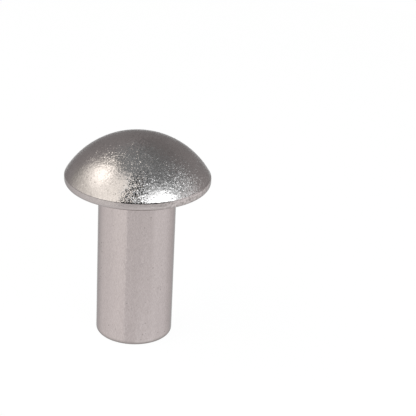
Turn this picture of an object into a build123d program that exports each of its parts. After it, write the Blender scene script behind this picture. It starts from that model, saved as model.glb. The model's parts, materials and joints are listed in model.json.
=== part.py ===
"""Round head solid rivet, cold headed in one piece from drawn wire.

The wire is cut to length and one end is upset between a punch and a die. The punch's spherical cavity forms the
dome and the die's flat face forms the bearing face. The metal between the two spreads into the rim, whose lower
edge stays rounded because the metal never fills the corner of the die. The free end keeps its square cut, with
its edge rolled over.

Frame: the origin is the centre of the free end of the shank, and +Z runs along the axis to the crown of the head.
"""

import os

from build123d import *

# Driving dimensions, in millimetres.
shank_diameter = 8.0
shank_length = 16.8  # from the free end to the bearing face
end_edge_radius = 0.35
neck_radius = 0.3  # fillet between the shank and the bearing face
head_diameter = 15.0
head_height = 5.2  # from the bearing face to the crown
rim_height = 0.9  # from the bearing face to the foot of the dome
rim_lower_radius = 0.5
rim_upper_radius = 0.3

# Places worked out from them.
shank_radius = shank_diameter / 2
head_radius = head_diameter / 2
dome_foot_z = shank_length + rim_height
crown_z = shank_length + head_height


def corner_at(section, x, z):
    """The corner of the section nearest this distance from the axis and this height."""
    return section.vertices().sort_by_distance((x, z)).first


with BuildPart() as rivet:
    # One half of the section through the axis. The sketch's X is the distance from the axis, and its Y the height.
    with BuildSketch(Plane.XZ) as half_section:
        with BuildLine():
            free_end = Line((0, 0), (shank_radius, 0))
            shank_side = Line(free_end @ 1, (shank_radius, shank_length))
            bearing_face = Line(shank_side @ 1, (head_radius, shank_length))
            rim = Line(bearing_face @ 1, (head_radius, dome_foot_z))
            dome = TangentArc((0, crown_z), rim @ 1, tangent=(1, 0))  # leaves the crown level
            Line(dome @ 0, free_end @ 0)
        make_face()
        fillet(corner_at(half_section, shank_radius, 0), end_edge_radius)
        fillet(corner_at(half_section, shank_radius, shank_length), neck_radius)
        fillet(corner_at(half_section, head_radius, shank_length), rim_lower_radius)
        fillet(corner_at(half_section, head_radius, dome_foot_z), rim_upper_radius)
    revolve(axis=Axis.Z)
rivet.part.label = "rivet"

os.makedirs("parts", exist_ok=True)
export_step(rivet.part, "parts/rivet.step")
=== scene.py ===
# %% [markdown]
# # A round head solid rivet in bare steel
#
# A solid rivet is one piece of steel. A length of drawn wire is gripped in a die, and one blow of a punch
# spreads its end into a head. So every surface has its own history: the dome is pressed and then tumbled,
# the rim is squeezed out between the tools, the shank keeps the skin of the drawing die, and the free end
# is sheared.
#
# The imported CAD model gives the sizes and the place. This lesson turns the same form again with Geometry
# Nodes, dense enough to carry dents and uneven pressing, gives it its steel, and lights it as small metal
# parts are lit.

# %% The frame
import json
import math

import bmesh
import bpy
from mathutils import Matrix, Vector


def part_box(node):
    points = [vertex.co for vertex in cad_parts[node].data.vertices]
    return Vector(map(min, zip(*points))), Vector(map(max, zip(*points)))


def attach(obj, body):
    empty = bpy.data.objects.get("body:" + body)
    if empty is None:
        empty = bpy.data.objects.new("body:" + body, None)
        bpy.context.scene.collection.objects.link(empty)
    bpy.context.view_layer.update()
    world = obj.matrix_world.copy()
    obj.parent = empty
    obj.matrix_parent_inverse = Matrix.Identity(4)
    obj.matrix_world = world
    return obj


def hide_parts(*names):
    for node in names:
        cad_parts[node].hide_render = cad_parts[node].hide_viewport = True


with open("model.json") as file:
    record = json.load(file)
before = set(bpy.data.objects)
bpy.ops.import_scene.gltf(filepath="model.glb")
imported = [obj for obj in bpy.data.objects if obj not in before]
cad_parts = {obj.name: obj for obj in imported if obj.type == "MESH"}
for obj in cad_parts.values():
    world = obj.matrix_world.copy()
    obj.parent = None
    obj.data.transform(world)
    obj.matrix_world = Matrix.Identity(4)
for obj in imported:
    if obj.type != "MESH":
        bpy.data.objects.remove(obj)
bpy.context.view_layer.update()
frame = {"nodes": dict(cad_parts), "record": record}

print("CAD nodes:", sorted(frame["nodes"]))

# %% [markdown]
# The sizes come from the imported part. Its mounts say where the plain shank starts and ends and where the
# bearing face lies, and its box gives the head's diameter and the crown. Only what neither of them states
# is written here: the height of the rim and its two edge radii. All lengths are in metres.

# %% Sizes
MM = 0.001
mounts = {mount["name"]: mount for mount in frame["record"]["mounts"]}
low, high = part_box("rivet")
shank_radius = mounts["shank"]["dims"]["r_mm"] * MM
shank_length = mounts["bearing_face"]["pos_m"][2]
plain_length = mounts["shank"]["dims"]["length_mm"] * MM
end_edge_radius = mounts["shank"]["pos_m"][2] - plain_length / 2
neck_radius = shank_length - end_edge_radius - plain_length
crown_height = high.z
head_radius = (high.x - low.x) / 2
rim_height = 0.9 * MM
rim_lower_radius = 0.5 * MM
rim_upper_radius = 0.3 * MM
sizes = {
    "Shank Radius": shank_radius,
    "Shank Length": shank_length,
    "End Edge Radius": end_edge_radius,
    "Neck Radius": neck_radius,
    "Head Radius": head_radius,
    "Crown Height": crown_height,
    "Rim Height": rim_height,
    "Rim Lower Radius": rim_lower_radius,
    "Rim Upper Radius": rim_upper_radius,
}
for name, size in sizes.items():
    print(f"{name}: {size / MM:.3f} mm")

# %% [markdown]
# Node trees are easier to read as formulas. `Graph` is one tree with one way of adding a node, whatever
# its kind. It serves Geometry Nodes and materials alike, because the two kinds of tree share their Math
# nodes.

# %% One way of adding a node
def pick(sockets, name):
    """A node's socket by its place, or by its name, past the hidden twins that some nodes keep."""
    if isinstance(name, int):
        return sockets[name]
    return next(socket for socket in sockets if socket.name == name and socket.enabled)


class Graph:
    """One node tree, and the one way of adding a node to it."""

    def __init__(self, tree):
        self.tree = tree

    def add(self, kind, settings=None, inputs=None):
        """Makes a node, sets its settings and then its sockets, and returns its first output in use."""
        node = self.tree.nodes.new(kind)
        for name, value in (settings or {}).items():
            setattr(node, name, value)
        for name, value in (inputs or {}).items():
            self.feed(pick(node.inputs, name), value)
        return Wire(self, next((socket for socket in node.outputs if socket.enabled), None))

    def feed(self, socket, value):
        """Gives a socket a plain value, a wire or a list of wires."""
        wires = value if isinstance(value, list) else [value]
        if not isinstance(wires[0], Wire):
            socket.default_value = value
            return
        for wire in wires:
            self.tree.links.new(wire.socket, socket)


print("nodes can be added")

# %% [markdown]
# `Wire` is a node's output that takes part in arithmetic. Each operator adds its own Math node, so
# `1 - mask` or `radius * angle.cos()` build themselves. A reflected form such as `__rsub__` serves a number
# on the left.

# %% Arithmetic on wires
class Wire:
    """A node's output that takes part in arithmetic."""

    def __init__(self, graph, socket):
        self.graph = graph
        self.socket = socket

    def math(self, operation, *values):
        return self.graph.add("ShaderNodeMath", {"operation": operation}, dict(enumerate(values)))

    def __add__(self, other):
        return self.math("ADD", self, other)

    def __radd__(self, other):
        return self.math("ADD", other, self)

    def __sub__(self, other):
        return self.math("SUBTRACT", self, other)

    def __rsub__(self, other):
        return self.math("SUBTRACT", other, self)

    def __mul__(self, other):
        return self.math("MULTIPLY", self, other)

    def __rmul__(self, other):
        return self.math("MULTIPLY", other, self)

    def __truediv__(self, other):
        return self.math("DIVIDE", self, other)

    def __rtruediv__(self, other):
        return self.math("DIVIDE", other, self)

    def __pow__(self, other):
        return self.math("POWER", self, other)

    def sqrt(self):
        return self.math("SQRT", self)

    def sin(self):
        return self.math("SINE", self)

    def cos(self):
        return self.math("COSINE", self)

    def above(self, limit):
        """1 where this is greater, else 0."""
        return self.math("GREATER_THAN", self, limit)

    def or_larger(self, other):
        """The larger of the two, which joins two masks."""
        return self.math("MAXIMUM", self, other)

    def or_smaller(self, other):
        """The smaller of the two."""
        return self.math("MINIMUM", self, other)

    def angle_over(self, run):
        """The angle of a slope that rises by this over the run."""
        return self.math("ARCTAN2", self, run)

    def smooth(self, start, end, low=0.0, high=1.0):
        """low before start, high after end, and eased between them."""
        limits = {"Value": self, "From Min": start, "From Max": end, "To Min": low, "To Max": high}
        return self.graph.add("ShaderNodeMapRange", {"interpolation_type": "SMOOTHSTEP"}, limits)

    def tween(self, start, end):
        """start where this is 0, end where it is 1."""
        return start + self * (end - start)

    def out(self, name):
        """Another output of the same node."""
        return Wire(self.graph, pick(self.socket.node.outputs, name))


print("wires take part in sums")

# %% [markdown]
# A few kinds of node come up again and again, so each gets a short name: vectors that are put together,
# taken apart or measured, and soft random noise, which is relief when it is set about zero.

# %% Short names for common nodes
def combine(graph, x, y, z=0.0):
    """A vector from its three parts."""
    return graph.add("ShaderNodeCombineXYZ", inputs={"X": x, "Y": y, "Z": z})


def split(graph, vector):
    """The three parts of a vector."""
    parts = graph.add("ShaderNodeSeparateXYZ", inputs={0: vector})
    return parts.out("X"), parts.out("Y"), parts.out("Z")


def vector_math(graph, operation, *values):
    return graph.add("ShaderNodeVectorMath", {"operation": operation}, dict(enumerate(values)))


def distance(graph, first, second):
    """How far apart two places are."""
    return vector_math(graph, "DISTANCE", first, second).out("Value")


def along(graph, place, direction):
    """How far a place lies along a direction."""
    return vector_math(graph, "DOT_PRODUCT", place, direction).out("Value")


def noise(graph, place, scale, detail):
    """Soft random values about 0.5, in waves of about 1.5 / scale."""
    return graph.add("ShaderNodeTexNoise", inputs={"Vector": place, "Scale": scale, "Detail": detail})


def swell(graph, place, scale, amplitude, detail=1.0):
    """Soft random relief, up to amplitude up or down."""
    return (noise(graph, place, scale, detail) - 0.5) * (2 * amplitude)


print("short names ready")

# %% [markdown]
# The rivet is a turned form, so its surface is a half-section carried once round the axis. The section is
# nine plain stretches: free end, rolled edge, shank, neck, bearing face, lower rim edge, rim, upper rim
# edge and dome. Each is a line or an arc, and is held as two functions, for the distance from the axis
# and for the height.

# %% Stretches of the section
def line(start, end):
    """A straight stretch between two places. Both functions take how far along it a point lies, 0 to 1."""
    def from_axis(t):
        return t.tween(start[0], end[0])

    def height(t):
        return t.tween(start[1], end[1])

    return from_axis, height


def arc(centre, radius, start, end):
    """A round stretch, between two angles in radians."""
    def from_axis(t):
        return centre[0] + radius * t.tween(start, end).cos()

    def height(t):
        return centre[1] + radius * t.tween(start, end).sin()

    return from_axis, height


print("lines and arcs ready")

# %% [markdown]
# The skin also needs a flat chart for its texture, in which no two places overlap. What faces up or down
# is charted as rings of a disc, and what stands upright is unrolled as a strip. All of them share one
# square sheet, on which their places are in millimetres.

# %% Charts for the texture
def disc_chart(centre, scale, reach_at):
    """Charts a band as a ring of a disc. reach_at gives how far along the skin a point is from the axis."""
    def place(turn, t):
        reach = reach_at(t) * scale
        return centre[0] * MM + reach * turn.cos(), centre[1] * MM + reach * turn.sin()

    return place


def strip_chart(corner, scale, radius, start, length, upright=False):
    """Charts a band as part of a straight strip, unrolled at one radius."""
    def place(turn, t):
        round_it = turn * radius * scale
        along_axis = (start + t * length) * scale
        u, v = (along_axis, round_it) if upright else (round_it, along_axis)
        return u + corner[0] * MM, v + corner[1] * MM

    return place


print("charts ready")

# %% [markdown]
# Each stretch is turned by itself: a flat grid whose rows are bent into circles round the axis. A grid is
# used because its own coordinates say how far round and how far along each point lies, and so give its
# chart too.

# %% The lathe
SEGMENTS = 400
CHART_SIDE = 44 * MM


def turned_band(graph, rings, stretch, chart):
    """One band of the skin: a flat grid whose rows become circles round the axis."""
    counts = {"Size X": 1.0, "Size Y": 1.0, "Vertices X": SEGMENTS + 1, "Vertices Y": rings + 1}
    grid = graph.add("GeometryNodeMeshGrid", inputs=counts)
    across, t, _ = split(graph, grid.out("UV Map"))
    turn = across * math.tau
    u, v = chart(turn, t)
    charted = graph.add(
        "GeometryNodeStoreNamedAttribute",
        {"data_type": "FLOAT2", "domain": "CORNER"},
        {"Geometry": grid, "Name": "OFBake", "Value": combine(graph, u / CHART_SIDE, v / CHART_SIDE)},
    )
    radius, height = (at(t) for at in stretch)
    spot = combine(graph, radius * turn.cos(), radius * turn.sin(), height)
    return graph.add("GeometryNodeSetPosition", inputs={"Geometry": charted, "Position": spot})


print(SEGMENTS, "segments round the axis, and a chart of", CHART_SIDE, "m a side")

# %% [markdown]
# The tree takes its sizes as named inputs, so the same lathe turns any round head rivet. From them it
# works out the sphere of the dome, which passes through the crown and the foot of the dome, and the small
# arc of the rim's upper edge, which touches both that sphere and the rim.

# %% The tree's inputs and the dome's sphere
DENT_SEED = 7
tree = bpy.data.node_groups.new("Turned Rivet", "GeometryNodeTree")
tree.interface.new_socket("Geometry", in_out="OUTPUT", socket_type="NodeSocketGeometry")
for name, size in sizes.items():
    tree.interface.new_socket(name, in_out="INPUT", socket_type="NodeSocketFloat").default_value = size
seed_input = tree.interface.new_socket("Dent Seed", in_out="INPUT", socket_type="NodeSocketInt")
seed_input.default_value = DENT_SEED
tree.interface.new_socket("Steel", in_out="INPUT", socket_type="NodeSocketMaterial")
turned = Graph(tree)
given = turned.add("NodeGroupInput").out
shank = given("Shank Radius")
length = given("Shank Length")
end_edge = given("End Edge Radius")
neck = given("Neck Radius")
head = given("Head Radius")
crown = given("Crown Height")
rim = given("Rim Height")
lower = given("Rim Lower Radius")
upper = given("Rim Upper Radius")
rise = crown - length - rim
sphere = (head * head + rise * rise) / (2 * rise)
sphere_height = crown - sphere
lift = ((sphere - upper) ** 2 - (head - upper) ** 2).sqrt()
upper_height = sphere_height + lift
tip = lift.angle_over(head - upper)
print("inputs:", ", ".join(item.name for item in tree.interface.items_tree if item.in_out == "INPUT"))

# %% [markdown]
# Nine calls turn the whole skin, from the centre of the free end out, up the shank, out under the head,
# up the rim and over the dome. The number in each call is how many rings of faces the band gets. Welding
# the bands closes the skin, and the two poles with it. On the chart the dome gets the most room, because
# the fine grain is there.

# %% The nine bands
WELD_DISTANCE = 0.0004 * MM
QUARTER = math.pi / 2
edge_arc = end_edge * QUARTER
shank_rise = length - neck - end_edge
lower_arc = lower * QUARTER
rim_rise = upper_height - length - lower
end_chart = disc_chart((34.4, 19.0), 1.6, lambda t: t * (shank - end_edge))
under_chart = disc_chart((34.4, 35.2), 1.05, lambda t: t.tween(shank + neck, head - lower))
dome_chart = disc_chart((13.2, 30.8), 1.4, lambda t: sphere * (1 - t) * (QUARTER - tip))


def shank_chart(start, length):
    return strip_chart((0.5, 0.4), 0.99, shank, start, length)


def rim_chart(start, length):
    return strip_chart((42.5, 0.6), 0.9, head, start, length, upright=True)


bands = [
    turned_band(turned, 14, line((0.0, 0.0), (shank - end_edge, 0.0)), end_chart),
    turned_band(turned, 7, arc((shank - end_edge, end_edge), end_edge, -QUARTER, 0.0),
                shank_chart(0.0, edge_arc)),
    turned_band(turned, 56, line((shank, end_edge), (shank, length - neck)),
                shank_chart(edge_arc, shank_rise)),
    turned_band(turned, 6, arc((shank + neck, length - neck), neck, math.pi, QUARTER),
                shank_chart(edge_arc + shank_rise, neck * QUARTER)),
    turned_band(turned, 12, line((shank + neck, length), (head - lower, length)), under_chart),
    turned_band(turned, 8, arc((head - lower, length + lower), lower, -QUARTER, 0.0),
                rim_chart(0.0, lower_arc)),
    turned_band(turned, 5, line((head, length + lower), (head, upper_height)),
                rim_chart(lower_arc, rim_rise)),
    turned_band(turned, 4, arc((head - upper, upper_height), upper, 0.0, tip),
                rim_chart(lower_arc + rim_rise, upper * tip)),
    turned_band(turned, 96, arc((0.0, sphere_height), sphere, tip, QUARTER), dome_chart),
]
joined = turned.add("GeometryNodeJoinGeometry", inputs={"Geometry": bands})
skin = turned.add("GeometryNodeMergeByDistance", inputs={"Geometry": joined, "Distance": WELD_DISTANCE})
print(len(bands), "bands")

# %% [markdown]
# A barrel of tumbling rivets leaves scattered dents on the dome and nicks in the thin upper edge of the
# rim. They start as points strewn over the head with a fixed seed. Every place on the skin looks for its
# nearest point and sinks by that dent's bowl, so one formula makes them all, each of its own size.

# %% How a dent is made
def strewn(graph, mesh, per_square_metre, where, seed):
    """Points scattered over the part of the mesh where a condition holds."""
    wanted = {"Mesh": mesh, "Selection": where, "Density": per_square_metre, "Seed": seed}
    return graph.add("GeometryNodeDistributePointsOnFaces", inputs=wanted)


def dent_depth(graph, points, smallest, largest, slope, seed):
    """How far each place sinks into its nearest dent: a round bowl, as deep as its radius times slope."""
    here = graph.add("GeometryNodeInputPosition")
    nearest = graph.add("GeometryNodeSampleNearest", inputs={"Geometry": points, "Sample Position": here})
    size = graph.add("FunctionNodeRandomValue", inputs={"Min": smallest, "Max": largest, "Seed": seed})
    at_point = {"Geometry": points, "Index": nearest}
    vector, number = {"data_type": "FLOAT_VECTOR"}, {"data_type": "FLOAT"}
    centre = graph.add("GeometryNodeSampleIndex", vector, {**at_point, "Value": here})
    reach = graph.add("GeometryNodeSampleIndex", number, {**at_point, "Value": size})
    bowl = (distance(graph, here, centre) / reach).smooth(0.25, 1.0, 1.0, 0.0)
    return bowl * reach * slope


print("dents can be made")

# %% [markdown]
# A real head isn't a perfect sphere: the punch leaves long shallow swells and short ones on them. With
# the dents and nicks they are the head's relief, which is pushed along the surface's own normal further
# down.

# %% Relief of the head
DENTS_PER_SQUARE_METRE = 1.6e5
NICKS_PER_SQUARE_METRE = 2.2e6
CREST_WIDTH = 0.2 * MM
skin_place = turned.add("GeometryNodeInputPosition")
skin_height = split(turned, skin_place)[2]
head_share = skin_height.smooth(length, length + rim)
is_dome = skin_height.above(length + rim)
is_crest = is_dome * (1 - skin_height.above(length + rim + CREST_WIDTH))
seed = given("Dent Seed")
dome_points = strewn(turned, skin, DENTS_PER_SQUARE_METRE, is_dome, seed)
crest_points = strewn(turned, skin, NICKS_PER_SQUARE_METRE, is_crest, seed + 1)
dents = dent_depth(turned, dome_points, smallest=0.12 * MM, largest=0.36 * MM, slope=0.035, seed=seed + 2)
nicks = dent_depth(turned, crest_points, smallest=0.08 * MM, largest=0.20 * MM, slope=0.10, seed=seed + 3)
long_swells = swell(turned, skin_place, scale=420.0, amplitude=0.010 * MM)
short_swells = swell(turned, skin_place, scale=1900.0, amplitude=0.0022 * MM)
pressing = long_swells + short_swells
head_relief = head_share * (pressing - dents - nicks)
print("dents and nicks ready")

# %% [markdown]
# The free end is where the wire was cut off. A shear leaves fine parallel ridges, which are noise drawn
# out along one direction. They are sunk a little and fade before the rolled edge, so the rivet still
# stands on a true ring. The shank only undulates slightly.

# %% Relief of the free end and the shank
RIDGES_ALONG_X = (0.12, 1.0, 0.0)
RIDGE_FADE = 0.5 * MM
SINK = 0.016 * MM
flattened = vector_math(turned, "MULTIPLY", skin_place, (1.0, 1.0, 0.0))
end_reach = vector_math(turned, "LENGTH", flattened).out("Value")
within_edge = 1 - end_reach.smooth(shank - end_edge - RIDGE_FADE, shank - end_edge)
end_share = (1 - skin_height.smooth(0.0, 0.06 * MM)) * within_edge
cut_place = vector_math(turned, "MULTIPLY", skin_place, RIDGES_ALONG_X)
ridges = swell(turned, cut_place, scale=1300.0, amplitude=0.012 * MM, detail=2.0)
end_relief = end_share * (ridges - SINK)
shank_relief = (1 - head_share) * swell(turned, skin_place, scale=260.0, amplitude=0.004 * MM)
print("ridges sunk by", SINK, "m")

# %% [markdown]
# The reliefs act on different places, so their sum is the whole skin's relief. The tree ends with smooth
# shading, with its instances made real and with the steel set on it.

# %% The finished tree
normal = turned.add("GeometryNodeInputNormal")
relief = head_relief + end_relief + shank_relief
push = turned.add("ShaderNodeVectorMath", {"operation": "SCALE"}, {0: normal, "Scale": relief})
pushed = turned.add("GeometryNodeSetPosition", inputs={"Geometry": skin, "Offset": push})
smooth = turned.add("GeometryNodeSetShadeSmooth", inputs={"Geometry": pushed})
real = turned.add("GeometryNodeRealizeInstances", inputs={"Geometry": smooth})
steeled = turned.add("GeometryNodeSetMaterial", inputs={"Geometry": real, "Material": given("Steel")})
turned.add("NodeGroupOutput", inputs={"Geometry": steeled})
print(len(tree.nodes), "nodes in the tree")

# %% [markdown]
# The finish is one steel, but its skin differs by place. Two masks from 0 to 1 tell the head from the
# shank, and the dome from the rim. The dome was tumbled and is pebbled all over, while the shank was
# drawn through a die and is smoother, with faint lengthwise lines. Bump holds both, because neither
# changes the outline.

# %% The steel's masks and fine relief
DRAWN_ALONG_Z = (1.0, 1.0, 0.035)


def new_material(name):
    material = bpy.data.materials.new(name)
    material.use_nodes = True
    material.node_tree.nodes.clear()
    return material, Graph(material.node_tree)


steel, metal = new_material("bare_steel")
spot = metal.add("ShaderNodeTexCoord").out("Object")
x, y, z = split(metal, spot)
crest_height = shank_length + rim_height
on_head = z.smooth(shank_length - 0.05 * MM, shank_length + 0.35 * MM)
on_dome = z.smooth(crest_height - 0.02 * MM, crest_height + 0.12 * MM)
drawn_place = vector_math(metal, "MULTIPLY", spot, DRAWN_ALONG_Z)
drawn_lines = swell(metal, drawn_place, scale=2600.0, amplitude=0.0012 * MM, detail=3.0)
shank_grain = swell(metal, spot, scale=5200.0, amplitude=0.0016 * MM, detail=2.0)
pebbles = swell(metal, spot, scale=3800.0, amplitude=0.008 * MM, detail=2.0)
fine_relief = on_head.tween(drawn_lines + shank_grain, pebbles)
bump = metal.add("ShaderNodeBump", inputs={"Strength": 1.0, "Distance": 1.0, "Height": fine_relief})
print("masks and fine relief ready")

# %% [markdown]
# Under its pebbles the dome is a mosaic of tiny grains, about 0.07 mm apart, each tilted its own way, so
# the edge of a bright reflection breaks up into glitter. Voronoi cells give the grains, and each cell's
# random colour is its lean. Here and there sparks lean much further. Where the dome was rubbed, on the
# left of the front and round one knock at the rim, the grains lie nearly flat. On the shank they are
# drawn out lengthwise.

# %% Grains that lean
GRAINS_PER_METRE = 14500.0
SHANK_LEAN = 0.05
RIM_LEAN = 0.12
RUBBED_LEAN = 0.11
TO_LEFT_OF_FRONT = (-0.59, -0.81, 0.0)
TO_RIGHT_OF_FRONT = (0.656, -0.755, 0.0)
KNOCK = (2.5 * MM, -6.9 * MM, 18.0 * MM)


def random_lean(graph, grains, amount):
    """One random lean for each tiny grain, from its random colour. Most lean little, and a few lean far."""
    lean = vector_math(graph, "SUBTRACT", grains, (0.5, 0.5, 0.5))
    spread = (along(graph, lean, lean) * 1.6 + 0.42) * amount
    return vector_math(graph, "MULTIPLY", lean, combine(graph, spread, spread, spread))


to_right = along(metal, spot, TO_RIGHT_OF_FRONT)
left_half = 1 - to_right.smooth(4.05 * MM, 4.75 * MM)
rubbed_left = along(metal, spot, TO_LEFT_OF_FRONT).smooth(3.0 * MM, 5.5 * MM) * left_half
rubbed = rubbed_left.or_larger(1 - distance(metal, spot, KNOCK).smooth(0.9 * MM, 3.0 * MM))
grain_place = combine(metal, x, y, z * on_head.tween(0.35, 1.0))
mosaic = {"Vector": grain_place, "Scale": GRAINS_PER_METRE}
grains = metal.add("ShaderNodeTexVoronoi", inputs=mosaic).out("Color")
sparks = noise(metal, grain_place, scale=7500.0, detail=1.0).smooth(0.57, 0.63)
spark_lean = sparks * rubbed.tween(0.7, 0.1) * y.smooth(-4.5 * MM, -1.0 * MM, 1.0, 0.12)
rough_lean = to_right.smooth(2.0 * MM, 5.0 * MM, 0.34, 0.42)
dome_lean = rubbed.tween(rough_lean, RUBBED_LEAN) + spark_lean
lean = random_lean(metal, grains, on_dome.tween(on_head.tween(SHANK_LEAN, RIM_LEAN), dome_lean))
print(GRAINS_PER_METRE, "grains a metre")

# %% [markdown]
# Two patches of short parallel scratches lie on the dome, where other rivets slid over it. They are noise
# drawn out along one direction, and only its highest waves count. A scratch shows by its flanks, so its
# normal leans outward from the axis. Bump, scratches and grains add up to one normal for the shader.

# %% Scratches, and the finished normal
SCRATCHES_ALONG_X = (0.07, 1.0, 1.0)
LEFT_PATCH = (-2.3 * MM, -2.9 * MM, 21.1 * MM)
RIGHT_PATCH = (4.1 * MM, -3.8 * MM, 20.0 * MM)
FLANK_LEAN = 28.0
scratch_place = vector_math(metal, "MULTIPLY", spot, SCRATCHES_ALONG_X)
scratch_lines = noise(metal, scratch_place, scale=10500.0, detail=0.0).smooth(0.60, 0.67)
from_patch = distance(metal, spot, LEFT_PATCH).or_smaller(distance(metal, spot, RIGHT_PATCH))
scratches = scratch_lines * (1 - from_patch.smooth(0.8 * MM, 1.4 * MM))
outward = combine(metal, scratches * FLANK_LEAN, scratches * FLANK_LEAN, 0.0)
flanks = vector_math(metal, "MULTIPLY", spot, outward)
leaning = vector_math(metal, "ADD", vector_math(metal, "ADD", bump, flanks), lean)
facets = vector_math(metal, "NORMALIZE", leaning)
print("relief nodes:", len(steel.node_tree.nodes))

# %% [markdown]
# Colour changes with the same history. A thin film of oxide darkens the steel a little, in soft patches
# on the head, in lengthwise streaks on the shank and from grain to grain. A few dark pits show most in
# those patches.

# %% The steel's colour
HEAD_CLEAN = (0.490, 0.446, 0.437, 1.0)
HEAD_FILM = (0.398, 0.360, 0.353, 1.0)
SHANK_CLEAN = (0.532, 0.471, 0.464, 1.0)
SHANK_FILM = (0.468, 0.414, 0.407, 1.0)
# Dark steel, used for pits and scuffs and for the painted shade on the rolled edge.
PIT_AND_SHADE = (0.25, 0.225, 0.215, 1.0)
PITS_PER_METRE = 1900.0


def blend(graph, share, first, second):
    """A colour between two, by a share from 0 to 1."""
    return graph.add("ShaderNodeMix", {"data_type": "RGBA"}, {"Factor": share, "A": first, "B": second})


patches = noise(metal, spot, scale=380.0, detail=2.0)
streaks = noise(metal, drawn_place, scale=900.0, detail=4.0)
mottle = noise(metal, grain_place, scale=6500.0, detail=2.0)
grain_shade = split(metal, grains)[0]
film = (on_head.tween(streaks, patches) * 0.3 + mottle * 0.4 + grain_shade * 0.3).smooth(0.3, 0.7)
head_colour = blend(metal, film, HEAD_CLEAN, HEAD_FILM)
shank_colour = blend(metal, film, SHANK_CLEAN, SHANK_FILM)
pits = metal.add("ShaderNodeTexVoronoi", inputs={"Vector": spot, "Scale": PITS_PER_METRE}).out("Distance")
pitted = (1 - pits.smooth(0.08, 0.20)) * patches.smooth(0.45, 0.7, 0.1, 0.8)
colour = blend(metal, pitted, blend(metal, on_head, shank_colour, head_colour), PIT_AND_SHADE)
print("film and pits ready")

# %% [markdown]
# Wear and painted light come on top. On the right the crest of the rim is painted lighter, a painted
# highlight where the light falls on it, and the rim below it is scuffed in light and dark. The scratches
# are a little brighter than the skin they cut. The rolled edge of the free end is painted dark, painted
# shade where it mirrors the floor's shadow at the foot.

# %% Wear on the rim, with a painted highlight on its crest, and painted shade on the rolled edge
# Light steel, used for wear and for the painted highlight on the crest.
WORN_AND_HIGHLIGHT = (0.66, 0.60, 0.59, 1.0)
on_right = x.smooth(1.5 * MM, 4.0 * MM)
crest_start = z.smooth(crest_height - 0.14 * MM, crest_height - 0.06 * MM)
crest_end = 1 - z.smooth(crest_height + 0.04 * MM, crest_height + 0.10 * MM)
# Painted highlight: the crest on the right is lightened where light falls on it.
colour = blend(metal, crest_start * crest_end * on_right * 0.85, colour, WORN_AND_HIGHLIGHT)
scuffs = noise(metal, spot, scale=4200.0, detail=2.0).smooth(0.40, 0.60)
scuffed_rim = on_head * (1 - on_dome) * on_right
colour = blend(metal, scuffed_rim * scuffs * 0.4, colour, PIT_AND_SHADE)
colour = blend(metal, scuffed_rim * (1 - scuffs) * 0.5, colour, WORN_AND_HIGHLIGHT)
colour = blend(metal, scratches * 0.5, colour, WORN_AND_HIGHLIGHT)
# Painted shade: the rolled edge at the foot is darkened as if by the floor's shadow.
painted_foot_shade = 1 - z.smooth(0.05 * MM, 0.60 * MM)
colour = blend(metal, painted_foot_shade * 0.95, colour, PIT_AND_SHADE)
print("wear ready")

# %% [markdown]
# The steel is glossy everywhere, and slightly duller in the shank's streaks and the head's patches. The
# specular tint darkens metal that is seen at a grazing angle, which draws the rivet's outlines.

# %% Gloss, and the finished steel
GRAZING_TINT = (0.56, 0.56, 0.56, 1.0)
shank_roughness = streaks.smooth(0.3, 0.7, 0.08, 0.14)
head_roughness = patches.smooth(0.3, 0.7, 0.08, 0.12)
surface = metal.add(
    "ShaderNodeBsdfPrincipled",
    inputs={
        "Base Color": colour,
        "Metallic": 1.0,
        "Specular Tint": GRAZING_TINT,
        "Roughness": on_head.tween(shank_roughness, head_roughness),
        "Normal": facets,
    },
)
metal.add("ShaderNodeOutputMaterial", inputs={"Surface": surface})
print("steel of", len(steel.node_tree.nodes), "nodes")

# %% [markdown]
# An empty object carries the tree as a modifier. Its inputs are set by their identifiers, the result is
# copied out as a plain mesh, and the modifier goes. The piece then rides on the part's body and stands
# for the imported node.

# %% Turning the rivet
piece = bpy.data.objects.new("round_head_rivet", bpy.data.meshes.new("round_head_rivet"))
bpy.context.scene.collection.objects.link(piece)
lathe = piece.modifiers.new("Turned Rivet", "NODES")
lathe.node_group = tree
inputs = {item.name: item.identifier for item in tree.interface.items_tree if item.in_out == "INPUT"}
for name, size in sizes.items():
    lathe[inputs[name]] = size
lathe[inputs["Dent Seed"]] = DENT_SEED
lathe[inputs["Steel"]] = steel
bpy.context.view_layer.update()
depsgraph = bpy.context.evaluated_depsgraph_get()
piece.data = bpy.data.meshes.new_from_object(piece.evaluated_get(depsgraph), depsgraph=depsgraph)
piece.modifiers.clear()
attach(piece, "root")
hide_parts("rivet")
piece.data.calc_loop_triangles()
print(len(piece.data.vertices), "vertices,", len(piece.data.loop_triangles), "triangles")

# %% [markdown]
# The rivet stands on a plain pale floor. To the camera, and to whatever metal mirrors, floor and world
# are mostly plain white, so the background is white without any more light on the rivet. The small rest
# of the floor's own shading keeps a soft shadow at the foot, and the white is a trace above 1 to make up
# for it elsewhere.

# %% The floor's material
WHITE = (1.0, 1.0, 1.0, 1.0)
PALE = (0.93, 0.93, 0.93, 1.0)
WHITE_SHARE = 0.95
WHITE_LEVEL = 1.02


def seen(graph):
    """1 for a ray from the camera, or one that metal or glass passes on, else 0."""
    path = graph.add("ShaderNodeLightPath")
    mirrored = path.out("Is Glossy Ray").or_larger(path.out("Is Transmission Ray"))
    return mirrored.or_larger(path.out("Is Camera Ray"))


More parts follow.
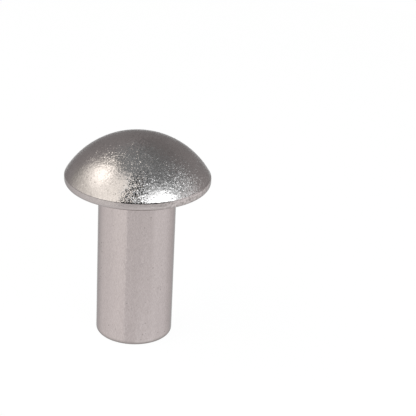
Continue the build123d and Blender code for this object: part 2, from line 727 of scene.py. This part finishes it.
floor_material, sheet = new_material("pale_floor")
matt = sheet.add("ShaderNodeBsdfDiffuse", inputs={"Color": PALE})
white = sheet.add("ShaderNodeEmission", inputs={"Color": WHITE, "Strength": WHITE_LEVEL})
shown = sheet.add("ShaderNodeMixShader", inputs={0: seen(sheet) * WHITE_SHARE, 1: matt, 2: white})
gloss = sheet.add("ShaderNodeBsdfGlossy", inputs={"Color": WHITE, "Roughness": 0.06})
from_camera = sheet.add("ShaderNodeLightPath").out("Is Camera Ray")
gloss_share = sheet.add("ShaderNodeFresnel", inputs={"IOR": 1.45}) * (1 - from_camera * WHITE_SHARE)
coated = sheet.add("ShaderNodeMixShader", inputs={0: gloss_share, 1: shown, 2: gloss})
sheet.add("ShaderNodeOutputMaterial", inputs={"Surface": coated})
print("floor white share", WHITE_SHARE)

# %% [markdown]
# The floor is a round sheet, a little larger than the camera can see. The world behind it is white too,
# so the sheet's far edge doesn't show.

# %% Floor and world
FLOOR_RADIUS = 138 * MM
FLOOR_CORNERS = 128
angles = [math.tau * step / FLOOR_CORNERS for step in range(FLOOR_CORNERS)]
outline = [(FLOOR_RADIUS * math.cos(a), FLOOR_RADIUS * math.sin(a), 0.0) for a in angles]
floor_mesh = bpy.data.meshes.new("floor")
floor_mesh.from_pydata(outline, [], [range(FLOOR_CORNERS)])
floor_mesh.materials.append(floor_material)
floor = bpy.data.objects.new("floor", floor_mesh)
bpy.context.scene.collection.objects.link(floor)

world = bpy.data.worlds.new("white_world")
world.use_nodes = True
world.node_tree.nodes.clear()
sky = Graph(world.node_tree)
backdrop = sky.add("ShaderNodeBackground", inputs={"Color": WHITE, "Strength": seen(sky)})
sky.add("ShaderNodeOutputWorld", inputs={"Surface": backdrop})
bpy.context.scene.world = world
print("floor radius", FLOOR_RADIUS, "m")

# %% [markdown]
# Bright metal is mostly a picture of the room, so the room is built as one: a dome of grey walls round
# the rivet, painted with light. It has a large softbox high on the left and a low one on the right.
# Between them, on the camera's side, it is dark, and that dark gap draws the streak down the front of the
# head. Directions are angles: azimuth is 0 towards the camera and grows to the right, and elevation is 0
# at the floor.

# %% The room's walls
WALL_LEVEL = 0.42


def span(value, ends, soft):
    """1 between two ends, eased to 0 across each of them by its own softness."""
    begins = value.smooth(ends[0] - soft[0], ends[0] + soft[0])
    stops = value.smooth(ends[1] - soft[1], ends[1] + soft[1])
    return begins * (1 - stops)


wall_material, room = new_material("studio_walls")
to_side, to_back, up = split(room, room.add("ShaderNodeTexCoord").out("Object"))
azimuth = to_side.angle_over(0 - to_back) * math.degrees(1)
elevation = up.angle_over((to_side * to_side + to_back * to_back).sqrt()) * math.degrees(1)
print("walls at", WALL_LEVEL)

# %% [markdown]
# Each part of the room is painted over the ones before it, and is given by its span in both directions
# and by how softly each of its ends fades. First come the walls themselves, from their pale foot to the
# ceiling, and the dark places: the back, the gap between the softboxes, and what lies below the camera.

# %% Walls and dark places
ALL_ROUND = (-200, 200)
SHARP = (1, 1)


def painted(below, across, soft_across, upwards, soft_upwards, level):
    """The light below with one part on it: its azimuths and elevations, how softly they end, its level."""
    mask = span(azimuth, across, soft_across) * span(elevation, upwards, soft_upwards)
    return mask.tween(below, level)


foot = painted(WALL_LEVEL, ALL_ROUND, SHARP, (-20, 14), (12, 12), 0.52)
ceiling = painted(foot, ALL_ROUND, SHARP, (78, 100), (10, 10), 0.44)
back_wall = painted(ceiling, (105, 220), (15, 15), (30, 74), (12, 12), 0.29)
over_right_box = painted(back_wall, (16, 118), (12, 12), (42, 76), (12, 12), 0.34)
gap = painted(over_right_box, (-30, 14), (3, 3), (20, 72), (8, 12), 0.03)
below_camera = painted(gap, (-60, 60), (15, 15), (-20, 24), (8, 4), 0.03)
print("walls painted")

# %% [markdown]
# A softbox isn't evenly bright. The right one spills light on the wall beside it and has a soft upper
# inner corner. The left one is weaker towards its foot and its far end, reaches higher near the gap, and
# has a hot centre where its lamp is.

# %% The two softboxes
right_spill = painted(below_camera, (52, 108), (8, 12), (12, 36), (8, 8), 1.25)
right_corner = painted(right_spill, (14, 48), (6, 14), (38, 58), (8, 10), 1.2)
right_box = painted(right_corner, (4.5, 66), (4.5, 12), (30.5, 45), (2.5, 10), 4.0)
left_foot = painted(right_box, (-112, -29), (24, 2), (9, 40), (5, 10), 1.20)
left_near_foot = painted(left_foot, (-72, -29), (16, 2), (9, 44), (5, 14), 1.87)
left_far_end = painted(left_near_foot, (-128, -104), (14, 12), (25, 48), (10, 10), 1.10)
left_box = painted(left_far_end, (-115, -27), (19, 3), (31, 64), (9, 13), 1.80)
left_corner = painted(left_box, (-60, -19), (35, 3), (45, 71), (6, 8), 1.65)
glow = painted(left_corner, (-111, -76), (12, 14), (41, 60), (9, 10), 2.9)
print("softboxes painted")

# %% [markdown]
# The left softbox is a warm lamp. The right one and everything high up are slightly cool, and the walls
# are neutral. The camera doesn't see the dome itself, only what the rivet mirrors of it.

# %% The room's tints and its dome
NEUTRAL = (1.02, 1.0, 1.0, 1.0)
COOL = (0.91, 1.0, 1.02, 1.0)
WARM = (1.0, 1.0, 0.935, 1.0)
ROOM_RADIUS = 0.45
cool_side = span(azimuth, (-35, 115), (8, 20))
cool = elevation.smooth(44, 66).or_larger(cool_side) * elevation.smooth(12, 30)
warm = span(azimuth, (-130, -25), (10, 10)) * span(elevation, (10, 72), (10, 10))
tint = blend(room, warm, blend(room, cool, NEUTRAL, COOL), WARM)
lit = room.add("ShaderNodeEmission", inputs={"Color": tint, "Strength": glow})
room.add("ShaderNodeOutputMaterial", inputs={"Surface": lit})

shell = bmesh.new()
bmesh.ops.create_uvsphere(shell, u_segments=64, v_segments=32, radius=ROOM_RADIUS)
tent_mesh = bpy.data.meshes.new("studio_tent")
shell.to_mesh(tent_mesh)
shell.free()
tent_mesh.materials.append(wall_material)
tent = bpy.data.objects.new("studio_tent", tent_mesh)
tent.visible_camera = False
bpy.context.scene.collection.objects.link(tent)
print("room of radius", ROOM_RADIUS, "m")

# %% [markdown]
# The camera looks down on the rivet at about 24 degrees through a long lens, which keeps the shank's
# sides nearly parallel. It is rolled by a few degrees, so the rivet leans slightly in the picture.

# %% The camera
EYE = Vector((0.0, -131.93, 72.52)) * MM
AIM = Vector((7.31, 0.0, 14.16)) * MM
ROLL = math.radians(2.88)
lens = bpy.data.cameras.new("camera")
lens.lens = 121.15
lens.sensor_width = 36.0
lens.clip_start = 1 * MM
camera = bpy.data.objects.new("camera", lens)
facing = (AIM - EYE).to_track_quat("-Z", "Y").to_matrix().to_4x4()
camera.matrix_world = Matrix.Translation(EYE) @ facing @ Matrix.Rotation(ROLL, 4, "Z")
bpy.context.scene.collection.objects.link(camera)
bpy.context.scene.camera = camera
bpy.context.scene.view_settings.view_transform = "Standard"
print("camera", round((AIM - EYE).length / MM, 1), "mm from the point it looks at")
